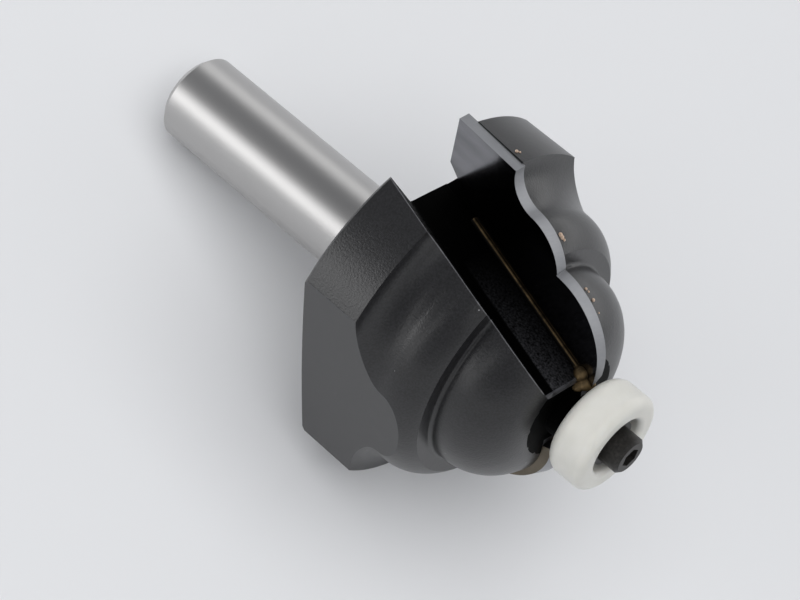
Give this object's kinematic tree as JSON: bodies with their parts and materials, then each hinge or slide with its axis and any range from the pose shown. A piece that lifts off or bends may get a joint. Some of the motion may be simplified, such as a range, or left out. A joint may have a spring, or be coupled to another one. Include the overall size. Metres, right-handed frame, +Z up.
{
  "type": "router bit",
  "caption": "Router bit with a straight shank, a moulding-profile head with carbide plates and a free-turning guide ring held by a socket screw.",
  "frame": {"origin": "on the floor plane under the middle of the outline, the bit lying on its side as it rests", "axes": "+Z up, +X along the bit seen from above, from the shank towards the guide ring"},
  "size_m": [0.0776, 0.039, 0.0488],
  "materials": {
    "coated_steel": "matt black non-stick coating on the head, bare ground steel on the shank",
    "carbide": "ground tungsten carbide",
    "braze": "silver-brass brazing alloy, heat tinted",
    "white_acetal": "white acetal, satin",
    "bearing_steel": "ground bearing steel",
    "cage_steel": "pressed steel",
    "shield_steel": "pressed steel, satin",
    "black_oxide": "black oxide steel"
  },
  "bodies": {
    "bit": {"cutter_body": "coated_steel", "carbide_plate_a": "carbide", "carbide_plate_b": "carbide", "braze_seam_a": "braze", "braze_seam_b": "braze", "bearing_inner_race": "bearing_steel", "retaining_washer": "black_oxide", "cap_screw": "black_oxide"},
    "guide": {"guide_ring": "white_acetal", "bearing_outer_race": "bearing_steel", "bearing_shield_front": "shield_steel", "bearing_shield_rear": "shield_steel"},
    "ball_set": {"bearing_balls": "bearing_steel", "bearing_cage": "cage_steel"}
  },
  "joints": [
    {"name": "guide_spin", "type": "hinge", "parent": "bit", "child": "guide", "pos_m": [0.03261, 0, 0.03565], "axis": [0.9165, 0, 0.3999], "continuous": true},
    {"name": "ball_spin", "type": "hinge", "parent": "bit", "child": "ball_set", "pos_m": [0.03261, 0, 0.03565], "axis": [0.9165, 0, 0.3999], "continuous": true}
  ],
  "couplings": [
    {"joint": "ball_spin", "follows": "guide_spin", "ratio": 0.584}
  ]
}
